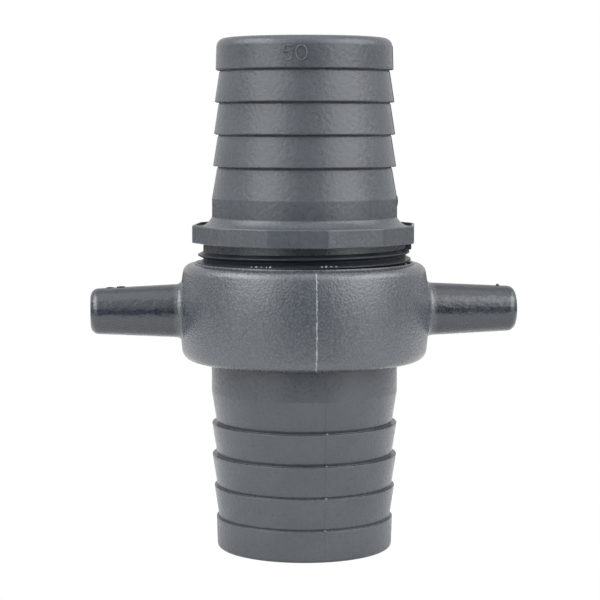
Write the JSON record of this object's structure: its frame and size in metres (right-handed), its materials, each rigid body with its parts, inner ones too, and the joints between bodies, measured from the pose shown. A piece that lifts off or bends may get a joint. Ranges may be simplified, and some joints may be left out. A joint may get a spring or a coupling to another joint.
{
  "type": "screwed hose coupling",
  "caption": "Plastic screwed hose coupling: two barbed hose tails joined by a swivel nut with two handles and a flat seal.",
  "frame": {"origin": "centre of the female tail's hose end, the flat ring that the coupling stands on", "axes": "+Z along the waterway towards the male tail, +X along one handle of the nut"},
  "size_m": [0.1196, 0.07, 0.1428],
  "materials": {
    "male_tail_plastic": "satin",
    "nut_plastic": "satin",
    "female_tail_plastic": "satin",
    "seal_rubber": "matte"
  },
  "bodies": {
    "female_tail": {"female_hose_tail": "female_tail_plastic", "sealing_washer": "seal_rubber"},
    "nut": {"lug_nut": "nut_plastic"},
    "male_tail": {"male_hose_tail": "male_tail_plastic"}
  },
  "joints": [
    {"name": "nut_turn", "type": "hinge", "parent": "female_tail", "child": "nut", "pos_m": [0, 0, 0.06705], "axis": [0, 0, -1], "range_deg": [0, 2245]},
    {"name": "thread_travel", "type": "slide", "parent": "female_tail", "child": "male_tail", "axis": [0, 0, 1], "range_m": [0, 0.0144]}
  ],
  "couplings": [
    {"joint": "thread_travel", "follows": "nut_turn", "m_per_rad": 0.00036749}
  ]
}
